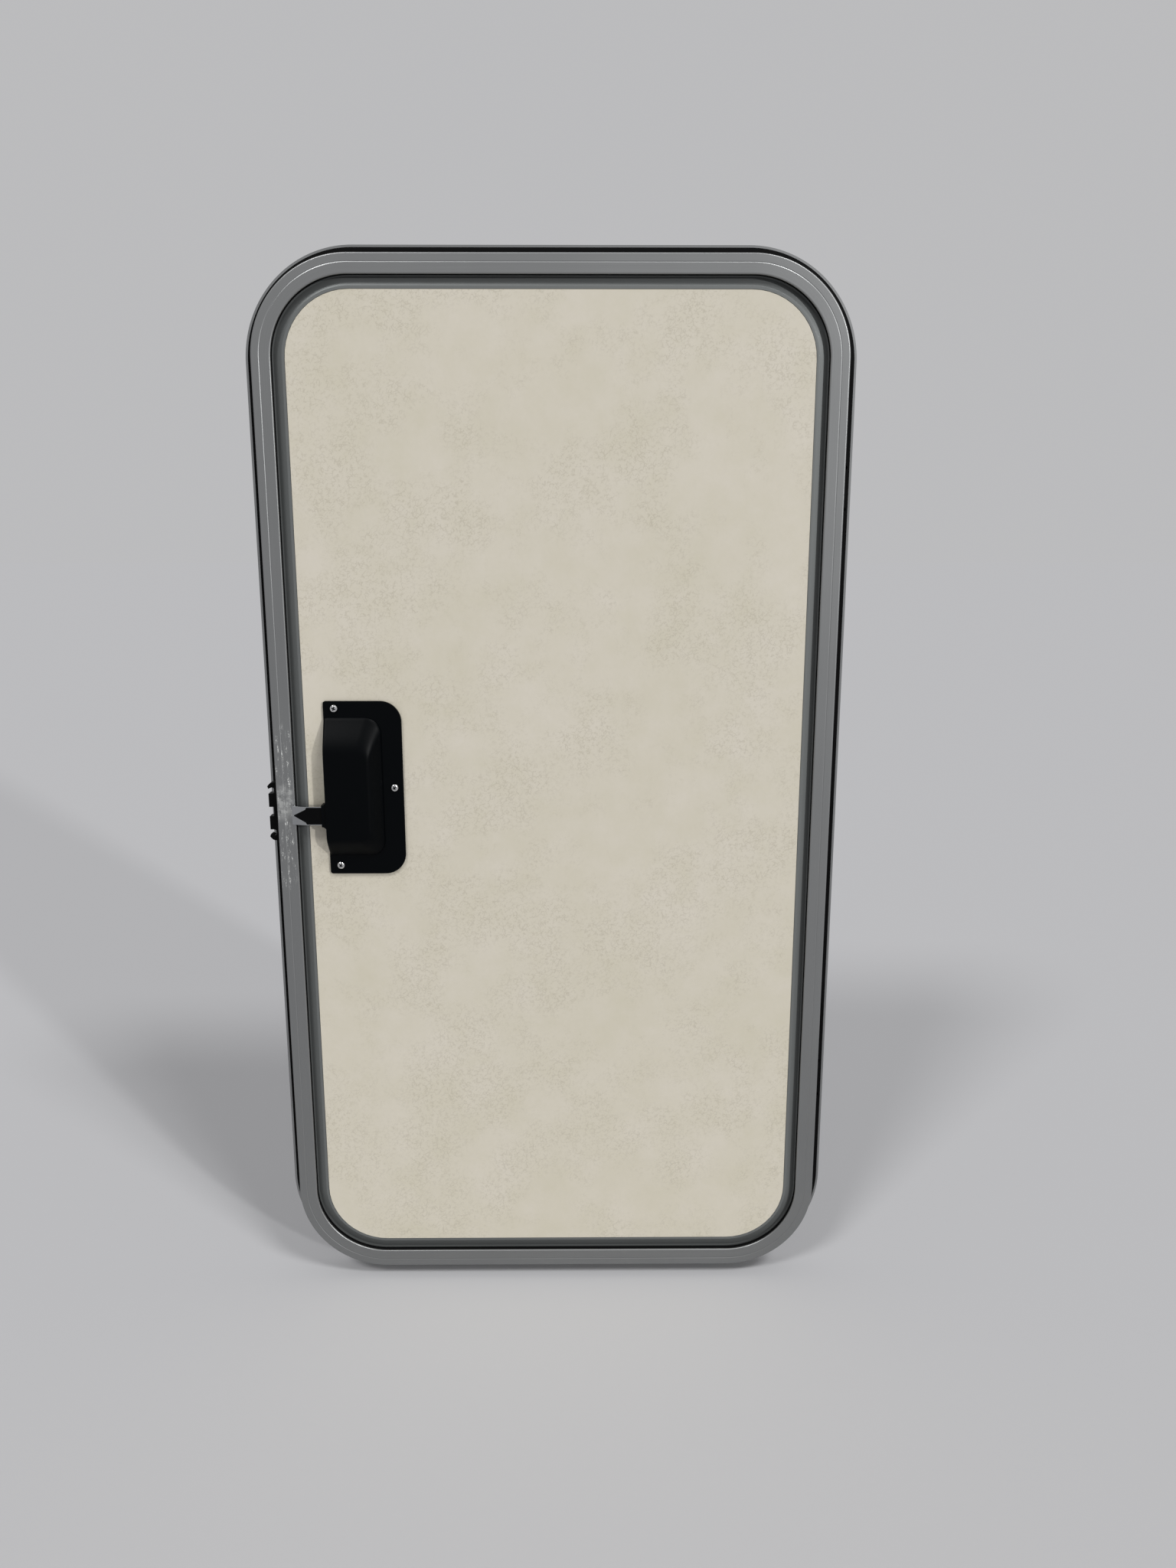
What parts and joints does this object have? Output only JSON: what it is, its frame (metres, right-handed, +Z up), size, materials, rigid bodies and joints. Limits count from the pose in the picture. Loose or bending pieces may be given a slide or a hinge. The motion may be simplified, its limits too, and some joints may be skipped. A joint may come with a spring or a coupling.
{
  "type": "caravan service door",
  "caption": "Service door for a caravan wall: rounded aluminium frame, hinged insulated leaf with an inner lock cover, a sprung latch bolt, a pull handle and a key lock outside",
  "frame": {"origin": "middle of the back face of the frame's outer flange lip, at the bottom centre, where the frame lies against the wall's outer skin", "axes": "+Z is up, +X is to the right seen from inside the caravan, -Y points into the caravan and +Y to the outside; the door is as tall as Z and stands in the XZ plane"},
  "size_m": [0.559, 0.0552, 1.0241],
  "materials": {
    "frame_aluminium": "satin grey anodised extrusion with brighter rounded edges",
    "edge_aluminium": "satin grey anodised leaf edge",
    "decor_panel": "thin wall board with a warm beige mottled stone print, low sheen",
    "white_skin": "smooth white painted sheet",
    "white_foam": "white rigid foam core",
    "black_abs": "black moulded plastic with a fine satin grain",
    "black_plastic": "plain black moulded plastic",
    "black_rubber": "black extruded rubber seal",
    "chrome": "bright chromed zinc casting",
    "zinc_steel": "bright zinc-plated steel",
    "hinge_steel": "satin stainless steel"
  },
  "bodies": {
    "frame": {"frame_profile": "frame_aluminium", "flange_seal": "black_rubber", "frame_seal": "black_rubber", "joint_plate": "frame_aluminium", "strike_keeper": "black_plastic", "hinge_upper_frame_half": "hinge_steel", "hinge_upper_pin": "zinc_steel", "hinge_upper_rivet_low": "zinc_steel", "hinge_upper_rivet_high": "zinc_steel", "hinge_lower_frame_half": "hinge_steel", "hinge_lower_pin": "zinc_steel", "hinge_lower_rivet_low": "zinc_steel", "hinge_lower_rivet_high": "zinc_steel"},
    "leaf": {"foam_core_upper": "white_foam", "foam_core_lower": "white_foam", "foam_core_latch_side": "white_foam", "foam_core_hinge_side": "white_foam", "outer_skin": "white_skin", "inner_panel": "decor_panel", "edge_profile": "edge_aluminium", "lock_cover": "black_abs", "cover_screw_top": "zinc_steel", "cover_screw_side": "zinc_steel", "cover_screw_bottom": "zinc_steel", "bolt_guide": "black_plastic", "bolt_spring": "zinc_steel", "handle_plate": "black_abs", "handle_pin": "zinc_steel", "key_cylinder": "zinc_steel", "cylinder_nut": "zinc_steel", "hinge_upper_leaf_half": "hinge_steel", "hinge_upper_screw_low": "zinc_steel", "hinge_upper_screw_high": "zinc_steel", "hinge_lower_leaf_half": "hinge_steel", "hinge_lower_screw_low": "zinc_steel", "hinge_lower_screw_high": "zinc_steel"},
    "bolt": {"latch_bolt": "chrome", "bolt_insert": "black_plastic"},
    "handle": {"pull_handle": "black_abs"},
    "key": {"key_plug": "chrome", "lock_cam": "zinc_steel"}
  },
  "joints": [
    {"name": "leaf_swing", "type": "hinge", "parent": "frame", "child": "leaf", "pos_m": [0.2665, 0.0078, 0.51075], "axis": [0, 0, -1], "range_deg": [0, 170]},
    {"name": "handle_pull", "type": "hinge", "parent": "leaf", "child": "handle", "pos_m": [-0.2065, -0.001, 0.50475], "axis": [0, 0, 1], "range_deg": [0, 15]},
    {"name": "bolt_slide", "type": "slide", "parent": "leaf", "child": "bolt", "axis": [1, 0, 0], "range_m": [0, 0.0087], "stiffness_N_per_m": 600, "springref_m": -0.006, "deforming": ["bolt_spring"]},
    {"name": "key_turn", "type": "hinge", "parent": "leaf", "child": "key", "pos_m": [-0.19, 0.0053, 0.45875], "axis": [0, 1, 0], "range_deg": [0, 90]}
  ],
  "couplings": [
    {"joint": "handle_pull", "follows": "bolt_slide", "rad_per_m": 30.03}
  ]
}
